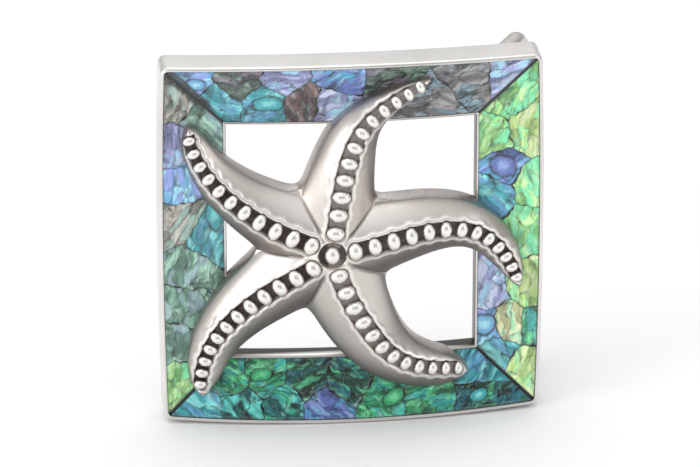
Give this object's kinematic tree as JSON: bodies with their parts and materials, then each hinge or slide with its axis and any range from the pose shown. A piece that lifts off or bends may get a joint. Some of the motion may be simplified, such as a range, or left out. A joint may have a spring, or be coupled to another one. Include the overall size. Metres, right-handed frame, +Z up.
{
  "type": "belt buckle",
  "caption": "Curved square belt buckle: dished shell-mosaic frame round an open window, raised starfish across it, hinged strap bail and a leaning prong behind.",
  "frame": {"origin": "root of the prong, where its post leaves its collar on the plate's back", "axes": "+Z up along the plate, +Y out of the back towards the wearer, +X towards the strap bail (to the right seen from the front)"},
  "size_m": [0.0489, 0.0227, 0.0488],
  "materials": {
    "sheet_silver": "polished silver with fine wear",
    "cast_silver": "satin cast silver, darkened in the recesses",
    "wire_silver": "satin silver",
    "black_resin": "polished black resin",
    "shell_green": "polished iridescent shell",
    "shell_lime": "polished iridescent shell",
    "shell_teal": "polished iridescent shell",
    "shell_blue": "polished iridescent shell",
    "shell_violet": "polished iridescent shell",
    "shell_seafoam": "polished iridescent shell",
    "shell_gold": "polished iridescent shell",
    "shell_smoke": "polished iridescent shell"
  },
  "bodies": {
    "plate": {"back_plate": "sheet_silver", "bail_hinge_tube": "wire_silver", "frame_body": "sheet_silver", "prong": "wire_silver", "prong_base": "sheet_silver", "resin_bottom": "black_resin", "resin_left": "black_resin", "resin_right": "black_resin", "resin_top": "black_resin", "shell_bottom_01": "shell_teal", "shell_bottom_02": "shell_teal", "shell_bottom_03": "shell_teal", "shell_bottom_04": "shell_green", "shell_bottom_05": "shell_teal", "shell_bottom_06": "shell_green", "shell_bottom_07": "shell_violet", "shell_bottom_08": "shell_green", "shell_bottom_09": "shell_teal", "shell_bottom_10": "shell_lime", "shell_bottom_11": "shell_teal", "shell_bottom_12": "shell_blue", "shell_left_01": "shell_smoke", "shell_left_02": "shell_seafoam", "shell_left_03": "shell_violet", "shell_left_04": "shell_blue", "shell_left_05": "shell_seafoam", "shell_left_06": "shell_blue", "shell_left_07": "shell_green", "shell_left_08": "shell_seafoam", "shell_left_09": "shell_green", "shell_left_10": "shell_lime", "shell_right_01": "shell_lime", "shell_right_02": "shell_lime", "shell_right_03": "shell_lime", "shell_right_04": "shell_violet", "shell_right_05": "shell_lime", "shell_right_06": "shell_teal", "shell_right_07": "shell_lime", "shell_right_08": "shell_violet", "shell_right_09": "shell_gold", "shell_right_10": "shell_blue", "shell_right_11": "shell_gold", "shell_right_12": "shell_lime", "shell_right_13": "shell_blue", "shell_right_14": "shell_lime", "shell_top_01": "shell_blue", "shell_top_02": "shell_teal", "shell_top_03": "shell_green", "shell_top_04": "shell_teal", "shell_top_05": "shell_violet", "shell_top_06": "shell_smoke", "shell_top_07": "shell_violet", "shell_top_08": "shell_blue", "shell_top_09": "shell_blue", "shell_top_10": "shell_smoke", "shell_top_11": "shell_smoke", "shell_top_12": "shell_violet", "starfish": "cast_silver"},
    "bail": {"strap_bail": "wire_silver"}
  },
  "joints": [
    {"name": "bail_swing", "type": "hinge", "parent": "plate", "child": "bail", "pos_m": [0.0386, -0.00002, 0], "axis": [0, 0, 1], "range_deg": [-54, 118]}
  ]
}
